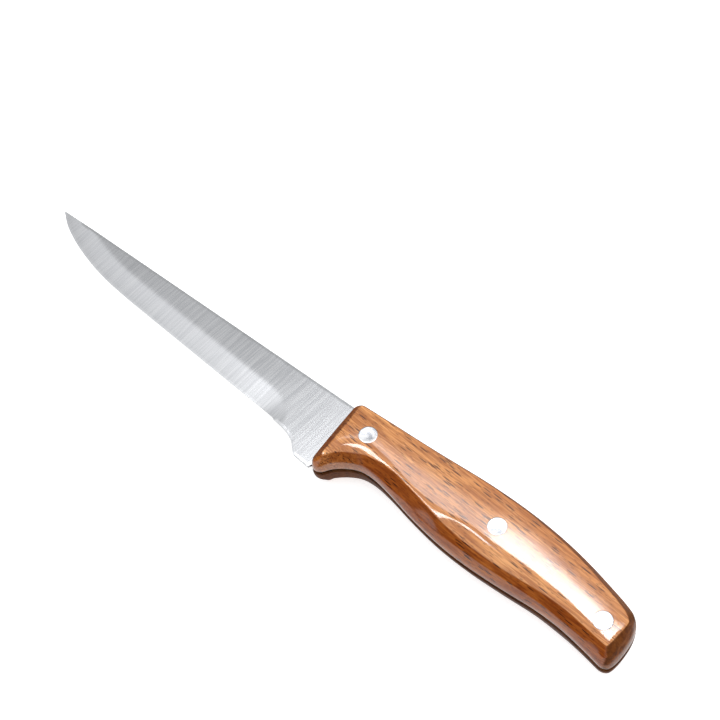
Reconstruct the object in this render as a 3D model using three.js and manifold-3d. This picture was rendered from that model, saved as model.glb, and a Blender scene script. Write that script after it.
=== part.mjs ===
// A boning knife lying on its side: a slim steel blade with a full-length tang, two hardwood
// handle scales with a finger guard, and three two-piece cutler's rivets.
//
// Millimetres. The drawing frame has its origin on the front rivet's axis, in the middle of the
// steel: +X runs towards the butt, +Y towards the spine and +Z out through the right scale.
// The finished group is moved so that its bounding box stands centred on the ground plane.
import * as THREE from "three";
import { mergeVertices } from "three/addons/utils/BufferGeometryUtils.js";
import Module from "manifold-3d";

const wasm = await Module();
wasm.setup();

// Driving dimensions
const CLEARANCE = 0.3; // free space between neighbouring pieces
const STEEL_THICKNESS = 1.5;
const EDGE_THICKNESS = 0.2; // what the grind leaves standing at the cutting edge
const GRIND_WIDTH = 8; // from the cutting edge up to the grind line
const HANDLE_THICKNESS = 17;
const WALL_HEIGHT = 2.8; // from the middle of the steel up to where a scale's side starts to curve in
const RIVET_HEAD_DIAMETER = 6.35;
const RIVET_HEAD_THICKNESS = 1.2;
const RIVET_HEAD_DEPTH = 0.1; // how far the heads lie under the faces of the scales
const RIVET_PIN_DIAMETER = 2.4;
const RIVET_TUBE_WALL = 0.6;
const RIVET_SIDES = 40;

const RIVET_TUBE_BORE = RIVET_PIN_DIAMETER + 2 * CLEARANCE;
const RIVET_TUBE_DIAMETER = RIVET_TUBE_BORE + 2 * RIVET_TUBE_WALL;
const SCALE_INNER_HEIGHT = STEEL_THICKNESS / 2 + CLEARANCE;

const RIVETS = [
  { name: "front", x: 0, y: 0 },
  { name: "middle", x: 53.7, y: 2.8 },
  { name: "rear", x: 97.9, y: 0 },
];

// Steel outline: the cutting edge from the tip to where it runs straight, the heel below the
// handle, and the tang inside it. The spine is the straight line from the tang back to the tip.
const EDGE_CURVE = [
  [-160.9, -1.9], [-154.4, -5.7], [-146.4, -8.6], [-136.4, -11], [-124.4, -12.7], [-110.4, -13.3],
];
const HEEL_CURVE = [
  [-33.8, -13.3], [-32.8, -13.6], [-27.3, -14], [-22.3, -15.5], [-18.9, -18], [-17.5, -18.9],
];
const TAB_END = [[-10.5, -18.9], [-10, -17.5], [-6.8, -17.5]];
const TANG_BELLY = [
  [-5.9, -17], [-4.7, -14.2], [-1.4, -10.9], [3.3, -7.9], [9.3, -7.1], [16.8, -7.7], [29, -9.5],
  [42, -10.5], [54, -10.2], [67, -8.8], [79, -7.2], [88.5, -6.9], [98, -7.6], [104.8, -8.4],
];
const TANG_BUTT = [[106.5, -7.6], [107.2, -5], [107.1, -1.5], [105.9, 4], [104.5, 6.9]];
const TANG_SPINE = [
  [102.6, 8.4], [90, 11.5], [76, 13.4], [60, 13.8], [43, 12.8], [21, 10.2], [1, 8.3], [-11.3, 7.75],
];
// Where the grind leaves the edge and runs out towards the heel.
const GRIND_RUN_OUT = [[-42, -13.3], [-38, -14.4], [-35.5, -18], [-35, -24]];

// Handle rings. Each ring is a closed line round the handle, in five stretches that meet in
// corners, and the same point of each ring lies on the same line of the finished handle. The seam
// ring is where a scale meets the steel, the shoulder ring is the foot of the chamfer, at a height
// of its own at each point, and the face ring bounds the flat outer face.
const STRETCH_STEPS = { spine: 28, butt: 12, belly: 66, nose: 6, front: 6 };
const SEAM_RING = {
  spine: [[-9.8, 8], [1, 9], [21, 11.1], [43, 13.6], [60, 14.6], [76, 14.1], [90, 12.2], [103, 9.3]],
  butt: [[105.3, 7.5], [106.8, 4], [107.7, -1.5], [107.8, -5.5], [107.1, -8.6]],
  belly: [
    [105.4, -9.7], [98, -8.8], [88.5, -8.1], [79, -8.4], [67, -10], [54, -11.4], [42, -11.7],
    [29, -10.7], [17, -8.9], [9.5, -8.3], [4, -9.1], [-0.4, -11.8], [-3.6, -15],
  ],
  nose: [[-4.8, -17.4], [-6.4, -18.6], [-8.4, -18.8]],
  front: [[-9.8, -17.9], [-10.9, -7], [-11.8, 2], [-12, 6.2]],
};
const SHOULDER_RING = {
  spine: [
    [-9.8, 7.6, 7.7], [1, 8.7, 7.6], [21, 10.7, 7.5], [43, 13.2, 7.4],
    [60, 14.1, 7], [76, 13.6, 6.2], [90, 11.7, 5.6], [103, 8.7, 5.2],
  ],
  butt: [[104.8, 6.8, 5], [105.8, 3, 4.9], [106.6, -2.5, 4.8], [106.7, -5.2, 4.8], [106.2, -7.3, 4.8]],
  belly: [
    [104.2, -8.3, 4.9], [97, -7.7, 5], [88, -7.4, 5.2], [78, -7.5, 5.4], [66, -8.6, 5.9],
    [53, -9.5, 6], [40.5, -9.7, 5.1], [28, -9, 4.1], [16.5, -8.4, 3.6], [9.5, -8.1, 4],
    [4.2, -8.8, 4.8], [-0.1, -11.4, 5.1], [-3.5, -14.8, 5.1],
  ],
  nose: [[-4.7, -17.1, 4.6], [-6.2, -18.4, 3.7], [-8, -18.5, 4]],
  front: [[-9.2, -17.4, 5.5], [-10.1, -7, 6.9], [-11.1, 1.5, 7.1], [-11.4, 5.8, 7.3]],
};
const FACE_RING = {
  spine: [[-9.7, 6.8], [1, 8.1], [21, 10], [43, 12.4], [60, 12.9], [76, 11.8], [90, 9.5], [101.5, 6.6]],
  butt: [[104.2, 4.9], [104.4, 2.5], [104.2, -1], [104.2, -3.5], [104.1, -5]],
  belly: [
    [103.7, -5.8], [95.5, -5.2], [86, -4.7], [76, -5.4], [66, -6.7], [53, -7.7], [39.5, -7.6],
    [27, -5.9], [16, -4.6], [9.5, -5], [3, -6.6], [-2, -10], [-4.6, -13.3],
  ],
  nose: [[-5.2, -15.1], [-5.9, -15.9], [-6.9, -16.3]],
  front: [[-7.8, -15.9], [-9.4, -7], [-10.5, 2], [-10.8, 5.4]],
};

const stainlessSteel = new THREE.MeshStandardMaterial({ color: 0xc9ccd0, roughness: 0.35, metalness: 1 });
const beech = new THREE.MeshStandardMaterial({ color: 0xb26a2e, roughness: 0.25, metalness: 0 });
const aluminium = new THREE.MeshStandardMaterial({ color: 0xe3e5e8, roughness: 0.3, metalness: 1 });

// Solid modelling helpers
function solidFrom(geometry) {
  const bare = geometry.clone();
  bare.deleteAttribute("normal");
  bare.deleteAttribute("uv");
  const merged = mergeVertices(bare, 1e-4);
  return new wasm.Manifold(
    new wasm.Mesh({
      numProp: 3,
      vertProperties: merged.attributes.position.array,
      triVerts: new Uint32Array(merged.index.array),
    }),
  );
}

function geometryFrom(solid) {
  const { vertProperties, triVerts } = solid.getMesh();
  const geometry = new THREE.BufferGeometry();
  geometry.setAttribute("position", new THREE.BufferAttribute(vertProperties, 3));
  geometry.setIndex(new THREE.BufferAttribute(triVerts, 1));
  geometry.computeVertexNormals();
  return geometry;
}

function cylinder(diameter, bottom, top, centre) {
  const geometry = new THREE.CylinderGeometry(diameter / 2, diameter / 2, top - bottom, RIVET_SIDES);
  geometry.rotateX(Math.PI / 2);
  geometry.translate(centre.x, centre.y, (bottom + top) / 2);
  return solidFrom(geometry);
}

function plate(outline, thickness) {
  const geometry = new THREE.ExtrudeGeometry(new THREE.Shape(outline), {
    depth: thickness,
    bevelEnabled: false,
  });
  geometry.translate(0, 0, -thickness / 2);
  return solidFrom(geometry);
}

const vectors = (pairs) => pairs.map(([x, y]) => new THREE.Vector2(x, y));
const spline = (pairs, steps) => new THREE.SplineCurve(vectors(pairs)).getPoints(steps);

// The points of a handle ring. Points without a height of their own lie at the height given.
function ringPoints(ring, height) {
  const stretches = Object.keys(STRETCH_STEPS);
  return stretches.flatMap((name, i) => {
    const next = ring[stretches[(i + 1) % stretches.length]];
    const points = [...ring[name], next[0]].map(([x, y, z = height]) => new THREE.Vector3(x, y, z));
    return new THREE.CatmullRomCurve3(points).getPoints(STRETCH_STEPS[name]).slice(0, -1);
  });
}

// A closed solid through a stack of rings with equal numbers of points, from the lowest up.
function loft(rings) {
  const count = rings[0].length;
  const positions = rings.flatMap((ring) => ring.flatMap(({ x, y, z }) => [x, y, z]));
  const triangles = [];
  for (let level = 0; level + 1 < rings.length; level++) {
    for (let i = 0; i < count; i++) {
      const a = level * count + i;
      const b = level * count + ((i + 1) % count);
      triangles.push(a, a + count, b, b, a + count, b + count);
    }
  }
  const top = (rings.length - 1) * count;
  for (const [a, b, c] of THREE.ShapeUtils.triangulateShape(rings[0], [])) {
    triangles.push(a, c, b);
  }
  for (const [a, b, c] of THREE.ShapeUtils.triangulateShape(rings[rings.length - 1], [])) {
    triangles.push(top + a, top + b, top + c);
  }
  const geometry = new THREE.BufferGeometry();
  geometry.setAttribute("position", new THREE.Float32BufferAttribute(positions, 3));
  geometry.setIndex(triangles);
  return geometry;
}

// Steel
function steelOutline() {
  return [
    ...spline(EDGE_CURVE, 30),
    ...spline(HEEL_CURVE, 20),
    ...vectors(TAB_END),
    ...spline(TANG_BELLY, 52),
    ...spline(TANG_BUTT, 9),
    ...spline(TANG_SPINE, 21),
  ];
}

// The grind: a wide plate whose rim is bevelled down to the edge thickness on both sides. Its rim
// follows the cutting edge and leaves it at both ends, so that only the cutting edge is thinned.
function grindEnvelope() {
  const rim = [
    ...vectors([[-190, 60], [-179, 12]]),
    ...spline(EDGE_CURVE, 30),
    ...spline(GRIND_RUN_OUT, 14),
    ...vectors([[-35, -60], [160, -60], [160, 60]]),
  ];
  const bevel = (STEEL_THICKNESS - EDGE_THICKNESS) / 2;
  const geometry = new THREE.ExtrudeGeometry(new THREE.Shape(rim), {
    depth: EDGE_THICKNESS,
    bevelThickness: bevel,
    bevelSize: GRIND_WIDTH,
    bevelOffset: -GRIND_WIDTH,
    bevelSegments: 1,
  });
  geometry.translate(0, 0, -EDGE_THICKNESS / 2);
  return solidFrom(geometry);
}

function makeBlade() {
  let steel = plate(steelOutline(), STEEL_THICKNESS).intersect(grindEnvelope());
  for (const rivet of RIVETS) {
    const hole = cylinder(RIVET_TUBE_DIAMETER + 2 * CLEARANCE, -STEEL_THICKNESS, STEEL_THICKNESS, rivet);
    steel = steel.subtract(hole);
  }
  return geometryFrom(steel);
}

// Scales. The right one is lofted upwards; the left one is its mirror image below the steel.
function makeScale(side) {
  let scale = solidFrom(
    loft([
      ringPoints(SEAM_RING, SCALE_INNER_HEIGHT),
      ringPoints(SEAM_RING, WALL_HEIGHT),
      ringPoints(SHOULDER_RING),
      ringPoints(FACE_RING, HANDLE_THICKNESS / 2),
    ]),
  );
  for (const rivet of RIVETS) {
    const headFloor = HANDLE_THICKNESS / 2 - RIVET_HEAD_DEPTH - RIVET_HEAD_THICKNESS - CLEARANCE;
    const headHole = cylinder(RIVET_HEAD_DIAMETER + 2 * CLEARANCE, headFloor, HANDLE_THICKNESS, rivet);
    const tubeHole = cylinder(RIVET_TUBE_DIAMETER + 2 * CLEARANCE, 0, HANDLE_THICKNESS, rivet);
    scale = scale.subtract(headHole).subtract(tubeHole);
  }
  return geometryFrom(side > 0 ? scale : scale.mirror([0, 0, 1]));
}

// Rivets: a tubular half from the left side and a pin half from the right that is driven into it.
const headTop = HANDLE_THICKNESS / 2 - RIVET_HEAD_DEPTH;
const headUnderside = headTop - RIVET_HEAD_THICKNESS;

function makeTubeHalf() {
  const r = RIVET_TUBE_DIAMETER / 2;
  const profile = vectors([
    [0, -headTop],
    [RIVET_HEAD_DIAMETER / 2, -headTop],
    [RIVET_HEAD_DIAMETER / 2, -headUnderside],
    [r, -headUnderside],
    [r, headUnderside - CLEARANCE],
    [RIVET_TUBE_BORE / 2, headUnderside - CLEARANCE],
    [RIVET_TUBE_BORE / 2, -headUnderside],
    [0, -headUnderside],
  ]);
  return new THREE.LatheGeometry(profile, RIVET_SIDES).rotateX(Math.PI / 2);
}

function makePinHalf() {
  const pinEnd = -headUnderside + CLEARANCE;
  const profile = vectors([
    [0, pinEnd],
    [RIVET_PIN_DIAMETER / 2, pinEnd],
    [RIVET_PIN_DIAMETER / 2, headUnderside],
    [RIVET_HEAD_DIAMETER / 2, headUnderside],
    [RIVET_HEAD_DIAMETER / 2, headTop],
    [0, headTop],
  ]);
  return new THREE.LatheGeometry(profile, RIVET_SIDES).rotateX(Math.PI / 2);
}

// Assembly
const knife = new THREE.Group();

function addPiece(name, geometry, material, x = 0, y = 0) {
  const mesh = new THREE.Mesh(geometry, material);
  mesh.name = name;
  mesh.position.set(x, y, 0);
  knife.add(mesh);
}

addPiece("blade", makeBlade(), stainlessSteel);
addPiece("right_scale", makeScale(1), beech);
addPiece("left_scale", makeScale(-1), beech);
for (const { name, x, y } of RIVETS) {
  addPiece(name + "_rivet_pin_half", makePinHalf(), aluminium, x, y);
  addPiece(name + "_rivet_tube_half", makeTubeHalf(), aluminium, x, y);
}

const bounds = new THREE.Box3().setFromObject(knife, true);
const centre = bounds.getCenter(new THREE.Vector3());
knife.position.set(-centre.x, -centre.y, -bounds.min.z);

export default knife;
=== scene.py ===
"""A boning knife lying on its left side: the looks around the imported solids.

Shapes are written in millimetres in the drawing frame: its origin is on the front rivet's axis in
the middle of the steel, +X runs towards the butt, +Y towards the spine and +Z out through the
right scale. place() turns such points into metres in the row frame.
"""

import math

import bmesh
import bpy
import numpy as np
from mathutils import Matrix, Vector, noise
from mathutils.geometry import delaunay_2d_cdt


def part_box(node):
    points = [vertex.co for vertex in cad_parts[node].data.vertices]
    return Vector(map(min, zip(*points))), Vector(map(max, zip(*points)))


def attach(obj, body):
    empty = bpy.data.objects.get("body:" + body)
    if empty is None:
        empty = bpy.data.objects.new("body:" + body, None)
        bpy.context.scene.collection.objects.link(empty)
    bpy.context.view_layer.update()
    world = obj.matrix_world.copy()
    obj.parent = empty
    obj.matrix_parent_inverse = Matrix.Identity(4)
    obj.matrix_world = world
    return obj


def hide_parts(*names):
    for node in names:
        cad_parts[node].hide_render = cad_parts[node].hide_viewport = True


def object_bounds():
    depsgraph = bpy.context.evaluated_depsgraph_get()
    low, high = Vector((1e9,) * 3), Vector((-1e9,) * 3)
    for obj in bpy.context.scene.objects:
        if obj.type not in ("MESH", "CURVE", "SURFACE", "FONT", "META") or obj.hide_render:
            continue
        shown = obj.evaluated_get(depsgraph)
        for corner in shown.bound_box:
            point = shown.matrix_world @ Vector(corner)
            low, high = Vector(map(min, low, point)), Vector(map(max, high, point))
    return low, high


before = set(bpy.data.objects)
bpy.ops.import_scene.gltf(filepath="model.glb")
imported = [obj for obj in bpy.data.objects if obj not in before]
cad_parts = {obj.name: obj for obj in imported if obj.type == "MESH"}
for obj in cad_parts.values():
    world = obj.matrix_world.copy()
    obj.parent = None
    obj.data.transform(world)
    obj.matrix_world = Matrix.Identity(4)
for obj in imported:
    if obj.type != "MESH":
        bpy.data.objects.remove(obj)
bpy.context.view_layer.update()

MM = 0.001

# Steel
STEEL_HALF = 0.75
EDGE_HALF = 0.03  # half of what the sharpening leaves standing at the cutting edge
GRIND_HALF = 0.06  # half of what the grind leaves behind the sharpened edge
SHARPENED_WIDTH = 0.5
GRIND_WIDTH = 8.2
GRIND_HOLLOW = 1.25  # 1 is a straight grind, and more is a hollow one
GRIND_SOFTNESS = 0.1  # how far the grind line is blended away
ROUNDED_FROM = 0.5  # half thickness from which the steel's rim is rounded, so the edge stays sharp
RIM_DROP = 0.1  # how much the rounding takes off at the very rim
RIM_REACH = 0.2
OUTLINE_SPACING = 0.8  # between the points of a curved stretch of the steel's outline
STEEL_STEP = (0.9, 0.55)  # of the grid that fills the outline
SPINE_STEPS = 200
EDGE_STEPS = 96
HEEL_STEPS = 8
GRIND_STEPS = 40
TIP = (-160.9, -1.9)
EDGE_CURVE = [TIP, (-154.4, -5.7), (-146.4, -8.6), (-136.4, -11), (-124.4, -12.7), (-110.4, -13.3)]
HEEL_CURVE = [(-33.8, -13.3), (-32.8, -13.6), (-27.3, -14), (-22.3, -15.5), (-18.9, -18), (-17.5, -18.9)]
TAB_END = [(-10.5, -18.9), (-10, -17.5), (-6.8, -17.5)]
TANG_BELLY = [
    (-5.9, -17), (-4.7, -14.2), (-1.4, -10.9), (3.3, -7.9), (9.3, -7.1), (16.8, -7.7), (29, -9.5),
    (42, -10.5), (54, -10.2), (67, -8.8), (79, -7.2), (88.5, -6.9), (98, -7.6), (104.8, -8.4),
]
TANG_BUTT = [(106.5, -7.6), (107.2, -5), (107.1, -1.5), (105.9, 4), (104.5, 6.9)]
TANG_SPINE = [
    (102.6, 8.4), (90, 11.5), (76, 13.4), (60, 13.8), (43, 12.8), (21, 10.2), (1, 8.3), (-11.3, 7.75),
]
GRIND_RUN_OUT = [(-42, -13.3), (-38, -14.4), (-35.5, -18), (-35, -24)]

# Handle
HANDLE_HALF = 8.5
SEAM_HALF = 0.78  # height of the scales' inner faces above the middle of the steel
WALL_BULGE = 0.3  # of the lower side, as a share of how far it leans
CROWN_DROP = 0.1  # how far the outer face of a scale falls away towards the spine and the butt
CROWN_REACH = 3.0
BAND_SLOPE = 0.17  # of the band along the belly that was sanded off the outer face
BAND_WIDTH = [
    (-10, 2.4), (2, 2.4), (10, 1.4), (19, 0.8), (28, 1.1), (37, 2.3), (46, 4.2), (56, 4), (66, 3.7),
    (76, 2.7), (86, 1.7), (96, 1.2), (104, 0.3),
]
# How much of the full slope the band has, along X
BAND_DEPTH = [(-10, 0.2), (-7, 0.3), (-5, 1), (8, 1), (16, 0.5), (32, 0.4), (42, 1), (104, 1)]
BAND_EDGE = 0.42  # how softly the band begins
GUARD_BAND_EDGE = 1.0  # the same by the finger guard
GUARD_END = 2.0  # place along X where the guard's softness starts to fade
GUARD_FADE = 9.0
SEAM_ROUNDING = 0.3  # reach of the round corners in a scale's section
WALL_ROUNDING = 1.5
SHOULDER_ROUNDING = 0.6
RIM_ROUNDING = 0.5
CORNER_SHARE = 0.46  # the most of a neighbouring side that a round corner takes
INNER_INSET = 2.0  # of the row that the seam's corner leads to
FACE_INSET = 1.2  # of the row that the rim's corner leads to
RING_SPACING = 0.5
RING_SMOOTHING = 1.7
FACE_STEP = (0.55, 0.4)
UNDERSIDE_STEP = (4, 4)
GRID_MARGIN = 0.6  # gap between a filled outline and its grid, as a share of the step
FIT_MARGIN = 0.02  # how far the seam keeps inside its outline
SANDING_DEPTH = 0.012
SANDING_BIAS = 0.6
SANDING_WAVES = (22, 9, 9)  # length of the unevenness along X, Y and Z
SANDING_FLOOR = 1.2  # height above the steel's middle where the unevenness starts
SANDING_FADE = 3.0
STRETCHES = ("spine", "butt", "belly", "nose", "front")
SEAM_RING = {
    "spine": [
        (-9.8, 8), (1, 9), (21, 11.1), (43, 13.6), (60, 14.6), (76, 14.1), (90, 12.2), (103, 9.3),
    ],
    "butt": [(105.3, 7.5), (106.8, 4), (107.7, -1.5), (107.8, -5.5), (107.1, -8.6)],
    "belly": [
        (105.4, -9.7), (98, -8.8), (88.5, -8.1), (79, -8.4), (67, -10), (54, -11.4), (42, -11.7),
        (29, -10.7), (17, -8.9), (9.5, -8.3), (4, -9.1), (-0.4, -11.8), (-3.6, -15),
    ],
    "nose": [(-4.8, -17.4), (-6.4, -18.6), (-8.4, -18.8)],
    "front": [(-9.8, -17.9), (-10.9, -7), (-11.8, 2), (-12, 6.2)],
}
SHOULDER_RING = {
    "spine": [
        (-9.8, 7.6, 7.7), (1, 8.7, 7.6), (21, 10.7, 7.5), (43, 13.2, 7.4),
        (60, 14.1, 7), (76, 13.6, 6.2), (90, 11.7, 5.6), (103, 8.7, 5.2),
    ],
    "butt": [
        (104.6, 6.6, 5.9), (105.6, 3, 6.4), (106.2, -2.5, 6.5), (106.3, -5.2, 6.4), (105.9, -7.2, 5.9),
    ],
    "belly": [
        (104.2, -8.3, 4.9), (97, -7.7, 5), (88, -7.4, 5.2), (78, -7.5, 5.4), (66, -8.6, 5.9),
        (53, -9.5, 6), (40.5, -9.7, 5.4), (28, -9, 4.5), (16.5, -8.4, 3.7), (9.5, -8.1, 4),
        (4.2, -8.8, 4.8), (-0.1, -11.4, 5.1), (-3.5, -14.8, 5.1),
    ],
    "nose": [(-4.7, -17.1, 4.6), (-6.2, -18.4, 3.7), (-8, -18.5, 4)],
    "front": [(-9.2, -17.4, 5.5), (-10.1, -7, 6.9), (-11.1, 1.5, 7.1), (-11.4, 5.8, 7.3)],
}
FACE_RING = {
    "spine": [
        (-9.7, 6.8), (1, 8.1), (21, 10), (43, 12.4), (60, 12.9), (76, 11.8), (90, 9.5), (101.5, 6.6),
    ],
    "butt": [(104.2, 4.9), (104.4, 2.5), (104.2, -1), (104.2, -3.5), (104.1, -5)],
    "belly": [
        (103.7, -5.8), (95.5, -5.2), (86, -4.7), (76, -5.4), (66, -6.7), (53, -7.7), (39.5, -7.6),
        (27, -5.9), (16, -4.6), (9.5, -5), (3, -6.6), (-2, -10), (-4.6, -13.3),
    ],
    "nose": [(-5, -14.6), (-5.5, -15.3), (-6.1, -15.5)],
    "front": [(-6.8, -14.9), (-7.7, -7), (-8.9, 2), (-9.6, 5.1)],
}

# Rivets
RIVETS = {"front": (0, 0), "middle": (53.7, 2.8), "rear": (97.9, 0)}
HEAD_RADIUS = 3.15
HEAD_TOP = 8.47
HEAD_THICKNESS = 1.2
SHANK_RADIUS = 2.0
SHANK_END = -6.7  # height of the tube's open end, before the tube half is turned over
BORE_RADIUS = 1.45
PIN_RADIUS = 1.2
PIN_CHAMFER = 0.2
PIN_END = -6.8
SEAT_RADIUS = 3.2  # of the round seat in the wood that a head lies in
SEAT_FLOOR = 6.9
SHANK_HOLE_RADIUS = 2.3
CIRCLE_STEPS = 48
AXIS_RADIUS = 1e-4  # stands for zero where a turned profile meets its axis

SHARP_ANGLE = 40  # degrees between faces from which an edge stays sharp


# Places and meshes
def drawing_origin():
    low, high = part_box("front_rivet_pin_half")
    all_low, all_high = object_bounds()
    return np.array([(low[0] + high[0]) / 2, (low[1] + high[1]) / 2, (all_low[2] + all_high[2]) / 2])


ORIGIN = drawing_origin()


def place(points):
    return np.asarray(points, float) * MM + ORIGIN


def add_piece(name, points, faces, material, stands_for):
    mesh = bpy.data.meshes.new(name)
    mesh.from_pydata(place(points).tolist(), [], faces)
    work = bmesh.new()
    work.from_mesh(mesh)
    bmesh.ops.remove_doubles(work, verts=work.verts, dist=1e-6)
    bmesh.ops.recalc_face_normals(work, faces=work.faces)
    work.to_mesh(mesh)
    work.free()
    for polygon in mesh.polygons:
        polygon.use_smooth = True
    mesh.materials.append(material)
    mesh.set_sharp_from_angle(angle=math.radians(SHARP_ANGLE))
    piece = bpy.data.objects.new(name, mesh)
    bpy.context.scene.collection.objects.link(piece)
    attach(piece, "root")
    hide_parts(stands_for)
    return piece


# Curves
def spline(points, counts):
    """Points of a centripetal Catmull-Rom curve, counts[k] of them on span k, without its end."""
    p = np.asarray(points, float)
    p = np.vstack([2 * p[0] - p[1], p, 2 * p[-1] - p[-2]])
    made = []
    for k, count in enumerate(counts):
        a, b, c, d = p[k : k + 4]
        knots = np.cumsum([0] + [max(np.linalg.norm(v), 1e-6) ** 0.5 for v in (b - a, c - b, d - c)])
        t = np.linspace(knots[1], knots[2], count, endpoint=False)[:, None]
        ab = a + (b - a) * (t - knots[0]) / (knots[1] - knots[0])
        bc = b + (c - b) * (t - knots[1]) / (knots[2] - knots[1])
        cd = c + (d - c) * (t - knots[2]) / (knots[3] - knots[2])
        abc = ab + (bc - ab) * (t - knots[0]) / (knots[2] - knots[0])
        bcd = bc + (cd - bc) * (t - knots[1]) / (knots[3] - knots[1])
        made.append(abc + (bcd - abc) * (t - knots[1]) / (knots[2] - knots[1]))
    return np.vstack(made)


def span_counts(points, spacing):
    lengths = np.linalg.norm(np.diff(np.asarray(points, float)[:, :2], axis=0), axis=1)
    return [max(2, round(length / spacing)) for length in lengths]


def evenly(points, spacing):
    return spline(points, span_counts(points, spacing))


def straight(start, end, count):
    """Points of a straight run, without its end."""
    return np.linspace(start, end, count, endpoint=False)


def smoothed(ring, sigma):
    """A closed ring with its corners rounded by a Gaussian of sigma points."""
    reach = int(3 * sigma) + 1
    offsets = np.arange(-reach, reach + 1)
    weights = np.exp(-0.5 * (offsets / sigma) ** 2)
    weights /= weights.sum()
    return sum(w * np.roll(ring, -o, axis=0) for o, w in zip(offsets, weights))


def eased(x, table):
    """Values at x on a smooth curve through (x, value) pairs."""
    known_x, known = np.array(table, float).T
    k = np.clip(np.searchsorted(known_x, x) - 1, 0, len(known_x) - 2)
    t = np.clip((x - known_x[k]) / (known_x[k + 1] - known_x[k]), 0, 1)
    slopes = np.gradient(known, known_x)
    span = known_x[k + 1] - known_x[k]
    start = known[k] * (1 + 2 * t) + slopes[k] * span * t
    end = known[k + 1] * (3 - 2 * t) - slopes[k + 1] * span * (1 - t)
    return start * (1 - t) ** 2 + end * t**2


def circle(centre, radius):
    turn = np.linspace(0, 2 * math.pi, CIRCLE_STEPS, endpoint=False)
    return np.stack([centre[0] + radius * np.cos(turn), centre[1] + radius * np.sin(turn)], 1)


def inside(points, outline):
    x, y = points[:, 0], points[:, 1]
    found = np.zeros(len(points), bool)
    ends = np.roll(outline, -1, axis=0)
    for (ax, ay), (bx, by) in zip(outline, ends):
        if ay != by:
            crosses = (ay > y) != (by > y)
            found ^= crosses & (x < (bx - ax) * (y - ay) / (by - ay) + ax)
    return found


def distance_to(points, outline, closed=True):
    ends = np.roll(outline, -1, axis=0) if closed else outline[1:]
    best = np.full(len(points), 1e9)
    for a, b in zip(outline if closed else outline[:-1], ends):
        along = b - a
        t = np.clip((points - a) @ along / max(along @ along, 1e-12), 0, 1)
        best = np.minimum(best, np.linalg.norm(points - a - t[:, None] * along, axis=1))
    return best


def filled(outline, holes, step):
    """Triangles that fill an outline around round holes: (points, triangles)."""
    low, high = outline.min(0), outline.max(0)
    xs = np.arange(low[0], high[0], step[0])
    ys = np.arange(low[1], high[1], step[1])
    grid = np.stack([a.ravel() for a in np.meshgrid(xs, ys)], 1)
    grid = grid[inside(grid, outline)]
    margin = GRID_MARGIN * min(step)
    grid = grid[distance_to(grid, outline) > margin]
    for centre, radius in holes:
        grid = grid[np.linalg.norm(grid - centre, axis=1) > radius + margin]
    loops = [outline] + [circle(centre, radius) for centre, radius in holes]
    edges = []
    start = 0
    for loop in loops:
        count = len(loop)
        edges += [(start + i, start + (i + 1) % count) for i in range(count)]
        start += count
    points = np.vstack(loops + [grid])
    vectors = [Vector(p) for p in points.tolist()]
    made = delaunay_2d_cdt(vectors, edges, [list(range(len(outline)))], 1, 1e-5)
    flat = np.array([tuple(v) for v in made[0]])
    triangles = []
    to_chord = math.cos(math.pi / CIRCLE_STEPS)  # from a hole's centre, as a share of its radius
    for face in made[2]:
        middle = flat[list(face)].mean(0)
        if all(np.linalg.norm(middle - np.array(c)) > r * to_chord for c, r in holes):
            triangles.append(tuple(face))
    return flat, triangles


class Surface:
    """Points and faces that are collected before they become a mesh."""

    def __init__(self):
        self.points = []
        self.faces = []
        self.count = 0

    def add(self, points, faces=()):
        start = self.count
        self.points.append(np.asarray(points, float))
        self.count += len(points)
        self.faces += [tuple(start + i for i in face) for face in faces]
        return start

    def skin(self, rows):
        """Quads between closed rows with equal numbers of points."""
        count = len(rows[0])
        start = self.add(np.vstack(rows))
        for level in range(len(rows) - 1):
            for i in range(count):
                a = start + level * count + i
                b = start + level * count + (i + 1) % count
                self.faces.append((a, b, b + count, a + count))

    def all_points(self):
        return np.vstack(self.points)


# Handle scales
def ring(table, height, counts):
    made = []
    for i, name in enumerate(STRETCHES):
        following = table[STRETCHES[(i + 1) % len(STRETCHES)]][0]
        points = [(p[0], p[1], p[2] if len(p) > 2 else height) for p in table[name] + [following]]
        made.append(spline(points, counts[i]))
    return smoothed(np.vstack(made), RING_SMOOTHING)


def unit(vectors):
    return vectors / np.maximum(np.linalg.norm(vectors, axis=1), 1e-9)[:, None]


def soft_corner(before, corner, after, reach, steps):
    """Rows that turn a corner in a quadratic curve of about that reach."""
    back = np.minimum(reach, CORNER_SHARE * np.linalg.norm(before - corner, axis=1))[:, None]
    ahead = np.minimum(reach, CORNER_SHARE * np.linalg.norm(after - corner, axis=1))[:, None]
    a = corner + unit(before - corner) * back
    b = corner + unit(after - corner) * ahead
    ts = np.linspace(0, 1, steps)
    return [(1 - t) ** 2 * a + 2 * t * (1 - t) * corner + t * t * b for t in ts]


def inward(outline):
    along = unit(np.roll(outline, -1, axis=0) - np.roll(outline, 1, axis=0))
    sign = 1 if signed_area(outline) > 0 else -1
    return np.stack([-along[:, 1], along[:, 0]], 1) * sign


def signed_area(outline):
    x, y = outline[:, 0], outline[:, 1]
    return 0.5 * np.sum(x * np.roll(y, -1) - np.roll(x, -1) * y)


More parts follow.
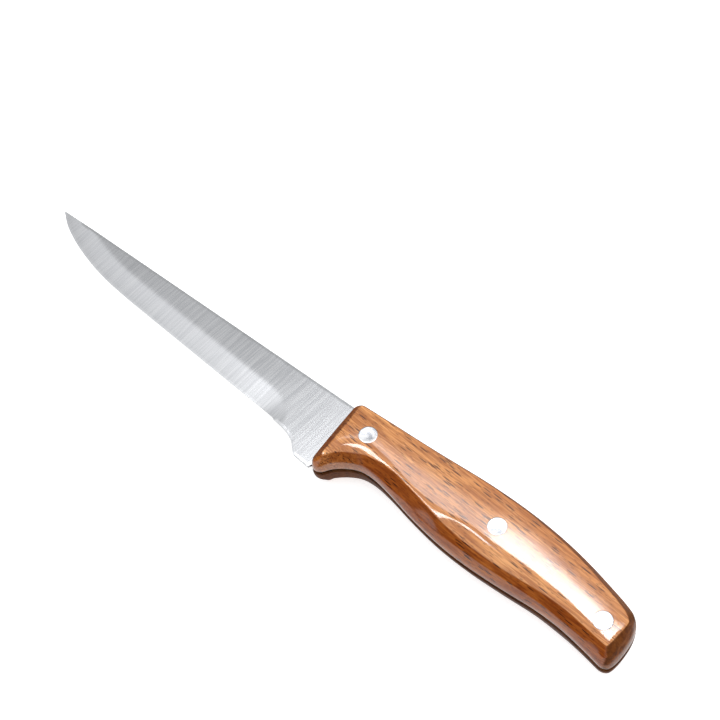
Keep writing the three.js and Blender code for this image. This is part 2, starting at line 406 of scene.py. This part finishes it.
def scale_rows():
    """The side of a scale from its inner face up to the rim of its outer face, and the face's shape."""
    counts = []
    for i, name in enumerate(STRETCHES):
        following = SEAM_RING[STRETCHES[(i + 1) % len(STRETCHES)]][0]
        counts.append(span_counts(SEAM_RING[name] + [following], RING_SPACING))
    seam = ring(SEAM_RING, SEAM_HALF, counts)
    seam[:, :2] += FIT_MARGIN * inward(seam[:, :2])
    shoulder = ring(SHOULDER_RING, 0, counts)
    rim = ring(FACE_RING, HANDLE_HALF, counts)
    height = face_shape(rim, counts)
    rim[:, 2] = height(rim)
    wall = (seam + shoulder) / 2
    lean = np.linalg.norm(seam[:, :2] - shoulder[:, :2], axis=1)
    wall[:, :2] -= WALL_BULGE * lean[:, None] * inward(seam[:, :2])
    inner = seam.copy()
    inner[:, :2] += INNER_INSET * inward(seam[:, :2])
    face = rim.copy()
    face[:, :2] += FACE_INSET * inward(rim[:, :2])
    face[:, 2] = height(face)
    rows = soft_corner(inner, seam, wall, SEAM_ROUNDING, 4)
    rows += soft_corner(seam, wall, shoulder, WALL_ROUNDING, 7)
    rows += soft_corner(wall, shoulder, rim, SHOULDER_ROUNDING, 7)
    rows += soft_corner(shoulder, rim, face, RIM_ROUNDING, 7)
    return rows, height


def face_shape(rim, counts):
    """A function for the height of the outer face above the middle of the steel."""
    ends = np.cumsum([sum(n) for n in counts])
    spine_and_butt = rim[: ends[1], :2]
    belly_and_nose = rim[ends[1] : ends[3], :2]

    def height(points):
        x = points[:, 0]
        guard = np.exp(-((np.maximum(x - GUARD_END, 0) / GUARD_FADE) ** 2))
        softness = BAND_EDGE + (GUARD_BAND_EDGE - BAND_EDGE) * guard
        over = eased(x, BAND_WIDTH) - distance_to(points[:, :2], belly_and_nose, closed=False)
        band = BAND_SLOPE * eased(x, BAND_DEPTH) * softness * np.logaddexp(0, over / softness)
        away = distance_to(points[:, :2], spine_and_butt, closed=False)
        return HANDLE_HALF - band - CROWN_DROP * np.exp(-away / CROWN_REACH)

    return height


def nearest(places, points):
    gaps = np.linalg.norm(places[:, None, :2] - points[None, :, :2], axis=2)
    return gaps.argmin(1)


def hand_sanded(points, seed):
    """The slow unevenness that sanding by hand leaves, always into the wood."""
    along, across, upward = SANDING_WAVES
    for p in points:
        if p[2] > SANDING_FLOOR:
            wave = noise.noise(Vector((p[0] / along, p[1] / across, p[2] / upward + seed)))
            fade = min(1, (p[2] - SANDING_FLOOR) / SANDING_FADE)
            p[2] -= max(SANDING_DEPTH * (wave + SANDING_BIAS), 0) * fade
    return points


def make_scale(side, seed):
    rows, height = scale_rows()
    rim = rows[-1]
    body = Surface()
    body.skin(rows)
    seats = [(np.array(c, float), SEAT_RADIUS) for c in RIVETS.values()]
    flat, triangles = filled(rim[:, :2], seats, FACE_STEP)
    top = np.column_stack([flat, height(flat)])
    on_rim = distance_to(flat, rim[:, :2]) < 1e-4
    top[on_rim, 2] = rim[nearest(flat[on_rim], rim), 2]
    body.add(top, triangles)
    for centre, radius in seats:
        mouth = circle(centre, radius)
        mouth = top[nearest(mouth, flat)]
        lip = np.column_stack([circle(centre, radius), np.full(CIRCLE_STEPS, SEAT_FLOOR)])
        hole = circle(centre, SHANK_HOLE_RADIUS)
        shelf = np.column_stack([hole, np.full(CIRCLE_STEPS, SEAT_FLOOR)])
        foot = np.column_stack([hole, np.full(CIRCLE_STEPS, SEAM_HALF)])
        body.skin([mouth, lip, shelf, foot])
    shanks = [(np.array(c, float), SHANK_HOLE_RADIUS) for c in RIVETS.values()]
    under, under_triangles = filled(rows[0][:, :2], shanks, UNDERSIDE_STEP)
    body.add(np.column_stack([under, np.full(len(under), SEAM_HALF)]), under_triangles)
    points = hand_sanded(body.all_points(), seed)
    points[:, 2] *= side
    return points, body.faces


# Blade and tang
def steel_outline():
    return np.vstack([
        evenly(EDGE_CURVE, OUTLINE_SPACING),
        straight(EDGE_CURVE[-1], HEEL_CURVE[0], EDGE_STEPS),
        evenly(HEEL_CURVE, OUTLINE_SPACING),
        straight(HEEL_CURVE[-1], TAB_END[0], HEEL_STEPS),
        TAB_END,
        evenly(TANG_BELLY, OUTLINE_SPACING),
        [TANG_BELLY[-1]],
        evenly(TANG_BUTT, OUTLINE_SPACING),
        [TANG_BUTT[-1]],
        evenly(TANG_SPINE, OUTLINE_SPACING),
        straight(TANG_SPINE[-1], TIP, SPINE_STEPS),
    ])


def grind_rim():
    """The line that the grind's width is measured from: the cutting edge and the run-out."""
    return np.vstack([
        evenly(EDGE_CURVE, OUTLINE_SPACING),
        straight(EDGE_CURVE[-1], GRIND_RUN_OUT[0], GRIND_STEPS),
        evenly(GRIND_RUN_OUT, OUTLINE_SPACING),
        [GRIND_RUN_OUT[-1]],
    ])


def steel_half_thickness(points, outline):
    """Half of the steel's thickness: full on the flat, then a hollow grind and a sharpened edge."""
    away = distance_to(points, grind_rim(), closed=False)
    share = away / GRIND_WIDTH
    rise = GRIND_HALF + (STEEL_HALF - GRIND_HALF) * share**GRIND_HOLLOW
    rise -= (GRIND_HALF - EDGE_HALF) * np.clip(1 - away / SHARPENED_WIDTH, 0, 1)
    blend = np.clip(0.5 + 0.5 * (STEEL_HALF - rise) / GRIND_SOFTNESS, 0, 1)
    half = STEEL_HALF * (1 - blend) + rise * blend - GRIND_SOFTNESS * blend * (1 - blend)
    rim = distance_to(points, outline)
    rounding = RIM_DROP * np.clip(1 - rim / RIM_REACH, 0, 1) ** 2
    return np.where(half > ROUNDED_FROM, half - rounding, half)


def make_blade():
    outline = steel_outline()
    holes = [(np.array(c, float), SHANK_HOLE_RADIUS) for c in RIVETS.values()]
    flat, triangles = filled(outline, holes, STEEL_STEP)
    half = steel_half_thickness(flat, outline)
    body = Surface()
    body.add(np.column_stack([flat, half]), triangles)
    body.add(np.column_stack([flat, -half]), [t[::-1] for t in triangles])
    for loop in [outline] + [circle(c, r) for c, r in holes]:
        near = nearest(loop, flat)
        upper = np.column_stack([flat[near], half[near]])
        lower = np.column_stack([flat[near], -half[near]])
        body.skin([upper, lower])
    return body.all_points(), body.faces


# Rivets
def turned(profile, centre):
    """A solid of revolution about the rivet's axis from (radius, height) pairs."""
    body = Surface()
    rows = []
    for radius, height in profile:
        loop = circle(centre, max(radius, AXIS_RADIUS))
        rows.append(np.column_stack([loop, np.full(CIRCLE_STEPS, height)]))
    body.skin(rows)
    return body.all_points(), body.faces


# A dished head's outline from its middle outwards, as (radius, height from HEAD_TOP)
HEAD_PROFILE = [
    (0, -0.08), (0.5, -0.079), (1.1, -0.07), (1.7, -0.05), (2.2, -0.03), (2.6, -0.01), (2.85, 0),
    (2.95, -0.004), (3.03, -0.01), (3.1, -0.022), (HEAD_RADIUS, -0.04), (HEAD_RADIUS, -HEAD_THICKNESS),
]


def head_profile():
    return [(radius, HEAD_TOP + height) for radius, height in HEAD_PROFILE]


def pin_profile():
    return head_profile() + [
        (PIN_RADIUS, HEAD_TOP - HEAD_THICKNESS),
        (PIN_RADIUS, PIN_END + PIN_CHAMFER),
        (PIN_RADIUS - PIN_CHAMFER, PIN_END),
        (0, PIN_END),
    ]


def tube_profile():
    under = HEAD_TOP - HEAD_THICKNESS
    return head_profile() + [
        (SHANK_RADIUS, under),
        (SHANK_RADIUS, SHANK_END),
        (BORE_RADIUS, SHANK_END),
        (BORE_RADIUS, under),
        (0, under),
    ]


# Materials
class Paint:
    """A material's node tree, with short names for the nodes that the finishes use."""

    def __init__(self, name):
        self.material = bpy.data.materials.new(name)
        self.material.use_nodes = True
        self.tree = self.material.node_tree
        self.tree.nodes.clear()
        self.shader = self.tree.nodes.new("ShaderNodeBsdfPrincipled")
        output = self.tree.nodes.new("ShaderNodeOutputMaterial")
        self.tree.links.new(self.shader.outputs["BSDF"], output.inputs["Surface"])
        self.place = self.tree.nodes.new("ShaderNodeTexCoord").outputs["Object"]

    def link(self, source, target):
        self.tree.links.new(source, target)

    def set(self, **values):
        for name, value in values.items():
            self.shader.inputs[name.replace("_", " ")].default_value = value

    def stretched(self, scale, turn=(0, 0, 0)):
        """Object coordinates, scaled in cells per metre."""
        node = self.tree.nodes.new("ShaderNodeMapping")
        node.inputs["Scale"].default_value = scale
        node.inputs["Rotation"].default_value = turn
        self.link(self.place, node.inputs["Vector"])
        return node.outputs["Vector"]

    def noise(self, vector, detail, roughness, distortion=0.0):
        node = self.tree.nodes.new("ShaderNodeTexNoise")
        node.inputs["Scale"].default_value = 1
        node.inputs["Detail"].default_value = detail
        node.inputs["Roughness"].default_value = roughness
        node.inputs["Distortion"].default_value = distortion
        self.link(vector, node.inputs["Vector"])
        return node.outputs["Fac"]

    def cells(self, vector):
        """Scattered cells: the distance to the middle of each, and a random colour of its own."""
        node = self.tree.nodes.new("ShaderNodeTexVoronoi")
        node.inputs["Scale"].default_value = 1
        self.link(vector, node.inputs["Vector"])
        return node.outputs["Distance"], node.outputs["Color"]

    def ramp(self, value, low, high, out_low=0.0, out_high=1.0):
        node = self.tree.nodes.new("ShaderNodeMapRange")
        node.interpolation_type = "SMOOTHSTEP"
        node.inputs["From Min"].default_value = low
        node.inputs["From Max"].default_value = high
        node.inputs["To Min"].default_value = out_low
        node.inputs["To Max"].default_value = out_high
        self.link(value, node.inputs["Value"])
        return node.outputs["Result"]

    def math(self, operation, a, b):
        node = self.tree.nodes.new("ShaderNodeMath")
        node.operation = operation
        for socket, value in zip(node.inputs, (a, b)):
            if isinstance(value, (int, float)):
                socket.default_value = value
            else:
                self.link(value, socket)
        return node.outputs["Value"]

    def mix(self, amount, a, b, kind="MIX"):
        node = self.tree.nodes.new("ShaderNodeMix")
        node.data_type = "RGBA"
        node.blend_type = kind
        for socket, value in ((node.inputs[0], amount), (node.inputs[6], a), (node.inputs[7], b)):
            if isinstance(value, (int, float)):
                socket.default_value = value
            elif isinstance(value, tuple):
                socket.default_value = (*value, 1)
            else:
                self.link(value, socket)
        return node.outputs[2]

    def axis(self, name):
        node = self.tree.nodes.new("ShaderNodeSeparateXYZ")
        self.link(self.place, node.inputs["Vector"])
        return node.outputs[name]

    def normal_axis(self, name):
        node = self.tree.nodes.new("ShaderNodeSeparateXYZ")
        normal = self.tree.nodes.new("ShaderNodeTexCoord").outputs["Normal"]
        self.link(normal, node.inputs["Vector"])
        return node.outputs[name]

    def bump(self, height, distance, strength):
        node = self.tree.nodes.new("ShaderNodeBump")
        node.inputs["Distance"].default_value = distance
        node.inputs["Strength"].default_value = strength
        self.link(height, node.inputs["Height"])
        return node.outputs["Normal"]


GRAIN_TURN = (0, 0, math.radians(-2))
GROUND_DARK = (0.50, 0.19, 0.044)
GROUND_PALE = (0.69, 0.33, 0.118)
BAND_BROWN = (0.33, 0.095, 0.012)
STREAK_BROWN = (0.26, 0.066, 0.008)
FIBRE_BROWN = (0.2, 0.05, 0.006)
FLECK_BROWN = (0.06, 0.014, 0.003)
# Painted shade: the near-black brown of the seam line and of the left scale's side
PAINTED_SHADE_BROWN = (0.035, 0.011, 0.004)
# Painted shade: multiplied into the colour of the chamfers and sides, and of the spine
CHAMFER_SHADE_TINT = (0.5, 0.28, 0.07)
SPINE_SHADE_TINT = (0.5, 0.62, 0.6)
PORE_BROWN = (0.045, 0.012, 0.003)
END_BROWN = (0.15, 0.046, 0.01)
# Painted shade: the near-black brown that darkens the chamfers at the ends
END_CHAMFER_SHADE_BROWN = (0.05, 0.013, 0.002)


def grain(paint, seed):
    """Tan ground with slow bands, streaks and fibres: its colour, and the streaks and fibres."""
    slow = paint.noise(paint.stretched((22 + seed, 110, 110), GRAIN_TURN), 3, 0.55, 0.4)
    bands = paint.noise(paint.stretched((20, 520 + seed, 520), GRAIN_TURN), 3, 0.6, 1.2)
    streaks = paint.noise(paint.stretched((70, 1250, 1250), GRAIN_TURN), 3, 0.65, 0.5)
    fibres = paint.noise(paint.stretched((110, 2400, 2400), GRAIN_TURN), 2, 0.6)
    ground = paint.mix(paint.ramp(slow, 0.32, 0.68), GROUND_DARK, GROUND_PALE)
    ground = paint.mix(paint.ramp(bands, 0.40, 0.64, 0, 0.55), ground, BAND_BROWN)
    ground = paint.mix(paint.ramp(streaks, 0.44, 0.60, 0, 0.6), ground, STREAK_BROWN)
    ground = paint.mix(paint.ramp(fibres, 0.45, 0.62, 0, 0.5), ground, FIBRE_BROWN)
    return ground, streaks, fibres


def ray_flecks(paint, seed):
    """Where dark ray flecks show: large ones that crowd towards the spine, and small ones."""
    fleck, fleck_colour = paint.cells(paint.stretched((160, 1700, 1700), GRAIN_TURN))
    small, small_colour = paint.cells(paint.stretched((400, 2600, 2600), GRAIN_TURN))
    crowded = paint.noise(paint.stretched((40, 160, 160 + seed), GRAIN_TURN), 1, 0.5)
    near_spine = paint.ramp(paint.axis("Y"), ORIGIN[1] - 0.002, ORIGIN[1] + 0.008, 0, 0.12)
    crowded = paint.math("ADD", crowded, near_spine)
    chosen = paint.ramp(paint.math("ADD", fleck_colour, crowded), 1.11, 1.16)
    shown = paint.math("MULTIPLY", paint.ramp(fleck, 0.26, 0.36, 1, 0), chosen)
    small_chosen = paint.ramp(small_colour, 0.5, 0.58)
    small_shown = paint.math("MULTIPLY", paint.ramp(small, 0.16, 0.34, 0.7, 0), small_chosen)
    return paint.math("MAXIMUM", shown, small_shown)


def seam_shade(paint, above_seam):
    """Painted shade: a thin line above the seam, and the left scale's side down to near its face."""
    below = paint.ramp(above_seam, 0.0007, 0.0018, 0.8, 0)
    clear_of_face = paint.ramp(above_seam, -0.0085, -0.006, 0, 1)
    return paint.math("MULTIPLY", below, clear_of_face)


def painted_side_shade(paint, colour, level, towards_butt, spine):
    """The colour with the shading of the chamfers and the spine painted into it."""
    leaning = paint.ramp(level, 0.8, 0.98, 0.9, 0)
    leaning = paint.math("MULTIPLY", leaning, paint.ramp(towards_butt, 0.2, 0.55, 1, 0.75))
    colour = paint.mix(leaning, colour, CHAMFER_SHADE_TINT, "MULTIPLY")
    return paint.mix(paint.ramp(spine, 0.35, 0.7, 0, 0.85), colour, SPINE_SHADE_TINT, "MULTIPLY")


def end_grain_share(paint, towards_butt):
    """How much end grain shows: by the blade and round the butt. Its darkness is partly the end grain's
    own stain and partly painted shade.
    """
    front_end = paint.ramp(towards_butt, -0.5, -0.08, 0.65, 0)
    butt_end = paint.ramp(paint.axis("X"), ORIGIN[0] + 0.06, ORIGIN[0] + 0.1, 0.3, 1)
    butt_end = paint.math("MULTIPLY", butt_end, paint.ramp(towards_butt, 0.15, 0.45, 0, 0.85))
    return paint.math("MAXIMUM", front_end, butt_end)


def end_grain_colour(paint, level):
    pores = paint.noise(paint.stretched((260, 700, 900)), 3, 0.6)
    colour = paint.mix(paint.ramp(pores, 0.35, 0.65), PORE_BROWN, END_BROWN)
    # Painted shade: where an end leans over towards the outer face, its chamfer is darkened halfway to
    # the near-black brown
    return paint.mix(paint.ramp(level, 0.35, 0.55, 0, 0.5), colour, END_CHAMFER_SHADE_BROWN)


def lacquer_share(paint, above_seam, level, towards_butt, spine, end_grain):
    """Weight of the clear coat: full on the right scale's face, and cut back on the left scale,
    the spine and the ends to hold down their gloss."""
    lacquer = paint.ramp(above_seam, -0.001, 0.0004, 0.2, 1)
    lacquer = paint.math("MULTIPLY", lacquer, paint.ramp(spine, 0.3, 0.7, 1, 0.1))
    dull_end = paint.math("MULTIPLY", end_grain, paint.ramp(level, 0.25, 0.5, 0.4, 1))
    dull_wall = paint.math(
        "MULTIPLY", paint.ramp(towards_butt, 0.2, 0.5), paint.ramp(level, 0.25, 0.45)
    )
    dull = paint.math("MAXIMUM", dull_end, dull_wall)
    return paint.math("MULTIPLY", lacquer, paint.ramp(dull, 0.1, 0.7, 1, 0.1))


def make_wood(name, seed):
    """Stained beech under clear gloss lacquer, with painted shade on the chamfers, the spine, the ends
    and the left scale's side.
    """
    paint = Paint(name)
    ground, streaks, fibres = grain(paint, seed)
    marks = ray_flecks(paint, seed)
    above_seam = paint.math("SUBTRACT", paint.axis("Z"), float(ORIGIN[2]))
    level = paint.math("ABSOLUTE", paint.normal_axis("Z"), 0.0)
    towards_butt = paint.normal_axis("X")
    spine = paint.normal_axis("Y")
    end_grain = end_grain_share(paint, towards_butt)
    colour = paint.mix(marks, ground, FLECK_BROWN)
    # Painted shade along the seam and down the left scale's side
    colour = paint.mix(seam_shade(paint, above_seam), colour, PAINTED_SHADE_BROWN)
    colour = painted_side_shade(paint, colour, level, towards_butt, spine)
    colour = paint.mix(end_grain, colour, end_grain_colour(paint, level))
    paint.link(colour, paint.shader.inputs["Base Color"])
    paint.link(paint.ramp(streaks, 0.2, 0.8, 0.42, 0.6), paint.shader.inputs["Roughness"])
    relief = paint.math("SUBTRACT", fibres, marks)
    paint.link(paint.bump(relief, 0.00003, 0.35), paint.shader.inputs["Normal"])
    paint.set(IOR=1.5, Specular_IOR_Level=0.02, Coat_Roughness=0.07, Coat_IOR=1.5)
    lacquer = lacquer_share(paint, above_seam, level, towards_butt, spine, end_grain)
    paint.link(lacquer, paint.shader.inputs["Coat Weight"])
    orange_peel = paint.noise(paint.stretched((200, 300, 300)), 1, 0.5)
    paint.link(paint.bump(orange_peel, 0.00002, 0.15), paint.shader.inputs["Coat Normal"])
    return paint.material


BRUSH_TURN = (0, 0, math.radians(3))
STEEL_GREY = (0.352, 0.359, 0.373)
STEEL_PALE = (0.39, 0.396, 0.407)
SCRATCH_GREY = (0.31, 0.32, 0.34)
SPECK_BROWN = (0.16, 0.12, 0.1)
TANG_SHADE_BLACK = (0.03, 0.026, 0.024)


def make_steel():
    """Cross-brushed stainless steel; inside the handle the tang is painted near-black as painted shade
    in the groove between the scales, and left dull.
    """
    paint = Paint("brushed_stainless")
    strokes = paint.noise(paint.stretched((2000, 60, 60), BRUSH_TURN), 2, 0.55)
    coarse = paint.noise(paint.stretched((600, 40, 40), BRUSH_TURN), 2, 0.5)
    cloud = paint.noise(paint.stretched((35, 60, 60)), 2, 0.5)
    colour = paint.mix(paint.ramp(strokes, 0.3, 0.7), STEEL_GREY, STEEL_PALE)
    colour = paint.mix(paint.ramp(coarse, 0.35, 0.7, 0, 0.05), colour, SCRATCH_GREY)
    speck, speck_colour = paint.cells(paint.stretched((110, 110, 110)))
    rare = paint.ramp(speck_colour, 0.58, 0.6)
    specks = paint.math("MULTIPLY", paint.ramp(speck, 0.03, 0.055, 1, 0), rare)
    colour = paint.mix(paint.math("MULTIPLY", specks, 0.7), colour, SPECK_BROWN)
    # Painted shade: the tang inside the handle turns near-black
    inside_handle = paint.ramp(paint.axis("X"), ORIGIN[0] - 0.0086, ORIGIN[0] - 0.0080)
    colour = paint.mix(inside_handle, colour, TANG_SHADE_BLACK)
    paint.link(colour, paint.shader.inputs["Base Color"])
    rough = paint.ramp(strokes, 0.3, 0.7, 0.19, 0.23)
    rough = paint.math("ADD", rough, paint.ramp(cloud, 0.3, 0.7, 0, 0.03))
    rough = paint.math("MAXIMUM", rough, paint.math("MULTIPLY", inside_handle, 0.7))
    paint.link(rough, paint.shader.inputs["Roughness"])
    paint.link(paint.bump(strokes, 0.00001, 0.02), paint.shader.inputs["Normal"])
    paint.set(Metallic=1.0)
    return paint.material


ALUMINIUM_DARK = (0.27, 0.28, 0.305)
ALUMINIUM_PALE = (0.42, 0.425, 0.435)


def make_aluminium():
    """Bright rivet metal with faint turning marks and handling haze."""
    paint = Paint("turned_aluminium")
    haze = paint.noise(paint.stretched((330, 330, 330)), 1, 0.5, 0.8)
    grain = paint.noise(paint.stretched((1500, 600, 1500)), 2, 0.5)
    colour = paint.mix(paint.ramp(haze, 0.3, 0.7), ALUMINIUM_DARK, ALUMINIUM_PALE)
    paint.link(colour, paint.shader.inputs["Base Color"])
    paint.link(paint.ramp(haze, 0.3, 0.7, 0.22, 0.3), paint.shader.inputs["Roughness"])
    paint.link(paint.bump(grain, 0.00001, 0.1), paint.shader.inputs["Normal"])
    paint.set(Metallic=1.0)
    return paint.material


def make_floor_finish():
    """A matt grey that also glows, which keeps the floor close to white."""
    paint = Paint("pale_floor")
    paint.set(Base_Color=(0.6, 0.6, 0.6, 1), Roughness=0.9)
    paint.set(Emission_Color=(1, 1, 1, 1), Emission_Strength=0.7)
    return paint.material


# Stage
FLOOR_REACH = 4.0
FLOOR_DROP = 0.0003  # keeps the floor clear of the face that the knife lies on
AMBIENT = 0.8
# (axis, cosine where it starts, cosine where it is full, brightness or depth there)
CEILING = ((-0.35, 0.1, 0.93), 0.2, 0.9, 1.8)
DARK_WALLS = [
    ((-0.45, -0.82, 0.3), 0.72, 0.92, 0.9),
    ((-0.6, 0.4, 0.69), 0.945, 0.985, 0.52),
]
CAMERA_PLACE = Vector((0.19855, -0.1528, 0.4181))  # in metres, from the drawing frame's origin
CAMERA_RIGHT = Vector((0.71239, 0.69571, -0.09219))
CAMERA_UP = Vector((-0.54215, 0.62898, 0.55719))
CAMERA_BACK = Vector((0.44563, -0.34696, 0.82525))
LENS = 73.18
SENSOR = 36
CLIP_START = 0.01
SOFTBOX_DISTANCE = 0.9


def add_floor():
    floor_mesh = bpy.data.meshes.new("floor")
    low, high = -FLOOR_REACH, FLOOR_REACH
    corners = [(low, low, 0), (high, low, 0), (high, high, 0), (low, high, 0)]
    floor_mesh.from_pydata(corners, [], [(0, 1, 2, 3)])
    floor_mesh.materials.append(make_floor_finish())
    floor = bpy.data.objects.new("floor", floor_mesh)
    floor.location.z = -FLOOR_DROP
    bpy.context.scene.collection.objects.link(floor)


def add_world():
    """A soft studio: even light from all round, a bright ceiling, and darker walls where listed."""
    world = bpy.data.worlds.new("studio")
    world.use_nodes = True
    bpy.context.scene.world = world
    tree = world.node_tree
    sky = tree.nodes["Background"]
    direction = tree.nodes.new("ShaderNodeTexCoord").outputs["Generated"]
    total = lobe(tree, direction, *CEILING, AMBIENT)
    for axis, start, end, depth in DARK_WALLS:
        darker = tree.nodes.new("ShaderNodeMath")
        darker.operation = "MULTIPLY"
        tree.links.new(total, darker.inputs[0])
        tree.links.new(lobe(tree, direction, axis, start, end, 1 - depth, 1), darker.inputs[1])
        total = darker.outputs["Value"]
    tree.links.new(total, sky.inputs["Strength"])
    sky.inputs["Color"].default_value = (1, 1, 1, 1)


def lobe(tree, direction, axis, start, end, inner, outer):
    """A value that goes from outer to inner as a direction nears an axis, between two cosines."""
    dot = tree.nodes.new("ShaderNodeVectorMath")
    dot.operation = "DOT_PRODUCT"
    dot.inputs[1].default_value = Vector(axis).normalized()
    tree.links.new(direction, dot.inputs[0])
    fade = tree.nodes.new("ShaderNodeMapRange")
    fade.interpolation_type = "SMOOTHSTEP"
    fade.inputs["From Min"].default_value = start
    fade.inputs["From Max"].default_value = end
    fade.inputs["To Min"].default_value = outer
    fade.inputs["To Max"].default_value = inner
    tree.links.new(dot.outputs["Value"], fade.inputs["Value"])
    return fade.outputs["Result"]


def add_camera():
    data = bpy.data.cameras.new("camera")
    data.lens = LENS
    data.sensor_width = SENSOR
    data.clip_start = CLIP_START
    camera = bpy.data.objects.new("camera", data)
    turn = Matrix((CAMERA_RIGHT, CAMERA_UP, CAMERA_BACK)).transposed().to_4x4()
    camera.matrix_world = Matrix.Translation(Vector(ORIGIN) + CAMERA_PLACE) @ turn
    bpy.context.scene.collection.objects.link(camera)
    bpy.context.scene.camera = camera


def add_softbox(name, seen_at, tilt, size, power, roll=0.0):
    """A softbox that the camera sees mirrored at a point of the handle's upper face.

    seen_at is in the drawing frame, and tilt is how far the face leans there, in degrees. The
    softbox's width runs along the handle, and roll turns it."""
    point = Vector(place(seen_at))
    normal = Matrix.Rotation(math.radians(tilt), 3, "X") @ Vector((0, 0, 1))
    view = (Vector(ORIGIN) + CAMERA_PLACE - point).normalized()
    mirrored = 2 * normal.dot(view) * normal - view
    across = (Vector((1, 0, 0)) - mirrored.x * mirrored).normalized()
    up = mirrored.cross(across)
    data = bpy.data.lights.new(name, "AREA")
    data.shape = "RECTANGLE"
    data.size, data.size_y = size
    data.energy = power
    light = bpy.data.objects.new(name, data)
    aim = Matrix((across, up, mirrored)).transposed() @ Matrix.Rotation(math.radians(roll), 3, "Z")
    light.matrix_world = Matrix.Translation(point + mirrored * SOFTBOX_DISTANCE) @ aim.to_4x4()
    bpy.context.scene.collection.objects.link(light)


def add_lights():
    """A long highlight by the butt and a faint veil by the blade, and a streak along the sanded band."""
    add_softbox("key_softbox", (77.5, -0.4, 8.5), 0, (0.13, 0.034), 0.34)
    add_softbox("key_end_softbox", (106, -3.7, 8.5), 0, (0.09, 0.02), 0.19)
    add_softbox("key_halo_softbox", (80, 7, 8.5), 0, (0.11, 0.03), 0.022)
    add_softbox("veil_softbox", (29, -3.6, 8.5), 0, (0.155, 0.036), 0.12, roll=5)
    add_softbox("strip_softbox", (29, -5, 8.4), 7, (0.17, 0.11), 1.15)


# Making it all
add_camera()
steel = make_steel()
aluminium = make_aluminium()
points, faces = make_scale(side=1, seed=3.7)
right_wood = make_wood("lacquered_beech_right", 0)
add_piece("right_scale_wood", points, faces, right_wood, "right_scale")
points, faces = make_scale(side=-1, seed=11.2)
left_wood = make_wood("lacquered_beech_left", 3)
add_piece("left_scale_wood", points, faces, left_wood, "left_scale")
points, faces = make_blade()
add_piece("blade_steel", points, faces, steel, "blade")
for name, centre in RIVETS.items():
    points, faces = turned(pin_profile(), centre)
    add_piece(name + "_rivet_pin", points, faces, aluminium, name + "_rivet_pin_half")
    points, faces = turned(tube_profile(), centre)
    points[:, 2] *= -1
    add_piece(name + "_rivet_tube", points, faces, aluminium, name + "_rivet_tube_half")
add_floor()
add_world()
add_lights()
bpy.context.scene.view_settings.view_transform = "Standard"
